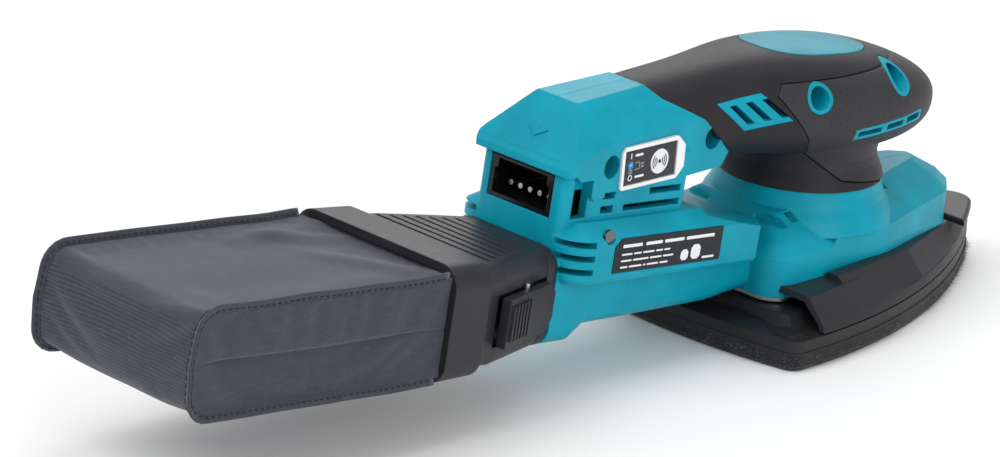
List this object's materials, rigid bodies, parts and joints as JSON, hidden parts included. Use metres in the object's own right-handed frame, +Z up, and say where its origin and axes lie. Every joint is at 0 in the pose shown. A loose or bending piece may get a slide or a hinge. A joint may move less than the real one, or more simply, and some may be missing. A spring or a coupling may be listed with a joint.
{
  "type": "orbital sander",
  "caption": "Cordless orbital detail sander: delta hook-and-loop pad, palm grip over a motor neck, rear handle with switch panel and power socket, clip-on cloth dust bag.",
  "frame": {"origin": "centre of the sanding face, on the axis of the eccentric pin at rest", "axes": "+X forwards to the pad's tip, +Y to the user's left, +Z up from the sanded surface"},
  "size_m": [0.379, 0.1, 0.0887],
  "materials": {
    "teal_housing": "fine moulded texture",
    "grip_soft": "smooth soft-touch",
    "grip_textured": "fine grained",
    "badge": "satin",
    "black_plastic": "fine moulded texture",
    "pad_plastic": "matt",
    "pad_foam": "fine closed-cell foam",
    "hook_fabric": "hook and loop pile",
    "bag_fabric": "fine twill",
    "bright_plate": "plain zinc",
    "steel": "ground",
    "screw_steel": "black oxide",
    "aluminium": "cast",
    "copper": "enamelled wire",
    "magnet": "nickel plated",
    "fan_plastic": "moulded",
    "socket_plastic": "gloss",
    "pin_metal": "bright",
    "board": "solder mask",
    "white_plastic": "satin",
    "switch_film": "satin film",
    "label_film": "printed film",
    "isolator_rubber": "matt"
  },
  "bodies": {
    "housing": {"base_plate": "bright_plate", "base_screws": "screw_steel", "bearing_plate": "aluminium", "contact_pins": "pin_metal", "control_board": "board", "front_shroud": "black_plastic", "grip_panel_left": "grip_textured", "grip_panel_right": "grip_textured", "grip_top": "grip_soft", "heat_sink": "aluminium", "housing_left": "teal_housing", "housing_right": "teal_housing", "housing_screws": "screw_steel", "isolator_posts": "isolator_rubber", "lead_strips": "copper", "lower_bearing": "steel", "port_seal": "isolator_rubber", "power_socket": "socket_plastic", "rating_label": "label_film", "rear_screws": "screw_steel", "stator_coils": "copper", "stator_core": "steel", "switch_bezel": "white_plastic", "switch_board": "board", "top_badge": "badge", "upper_bearing": "steel"},
    "drive": {"motor_shaft": "steel", "rotor_core": "steel", "rotor_magnets": "magnet", "eccentric_hub": "steel", "pin_bearing_race": "steel", "counterweight": "steel", "dust_fan": "fan_plastic"},
    "pad": {"hook_face": "hook_fabric", "pad_foam": "pad_foam", "pad_plate": "pad_plastic", "bearing_carrier": "aluminium", "pad_screws": "screw_steel", "pad_bearing_race": "steel", "pin_bearing_balls": "steel"},
    "switch": {"switch_rocker": "switch_film"},
    "bag": {"nozzle_body": "black_plastic", "nozzle_collar": "black_plastic", "latch_pins": "steel", "bag_frame": "black_plastic", "bag_cloth": "bag_fabric"},
    "latch_left": {"latch_left": "black_plastic"},
    "latch_right": {"latch_right": "black_plastic"}
  },
  "joints": [
    {"name": "motor_spin", "type": "hinge", "parent": "housing", "child": "drive", "pos_m": [-0.001, 0, 0.05], "axis": [0, 0, 1], "continuous": true},
    {"name": "pad_orbit", "type": "hinge", "parent": "drive", "child": "pad", "pos_m": [0, 0, 0.018], "axis": [0, 0, 1], "continuous": true},
    {"name": "switch_rock", "type": "hinge", "parent": "housing", "child": "switch", "pos_m": [-0.0937, -0.0156, 0.0657], "axis": [1, 0, 0], "range_deg": [-3, 3], "stiffness_Nm_per_rad": 0.05},
    {"name": "bag_slide", "type": "slide", "parent": "housing", "child": "bag", "axis": [-0.9959, 0, 0.0906], "range_m": [0, 0.03]},
    {"name": "latch_left_press", "type": "hinge", "parent": "bag", "child": "latch_left", "pos_m": [-0.15235, 0.0262, 0.03198], "axis": [0.0906, 0, 0.9959], "range_deg": [0, 7], "stiffness_Nm_per_rad": 0.08},
    {"name": "latch_right_press", "type": "hinge", "parent": "bag", "child": "latch_right", "pos_m": [-0.15235, -0.0262, 0.03198], "axis": [0.0906, 0, 0.9959], "range_deg": [-7, 0], "stiffness_Nm_per_rad": 0.08}
  ],
  "couplings": [
    {"joint": "pad_orbit", "follows": "motor_spin", "ratio": -1}
  ]
}
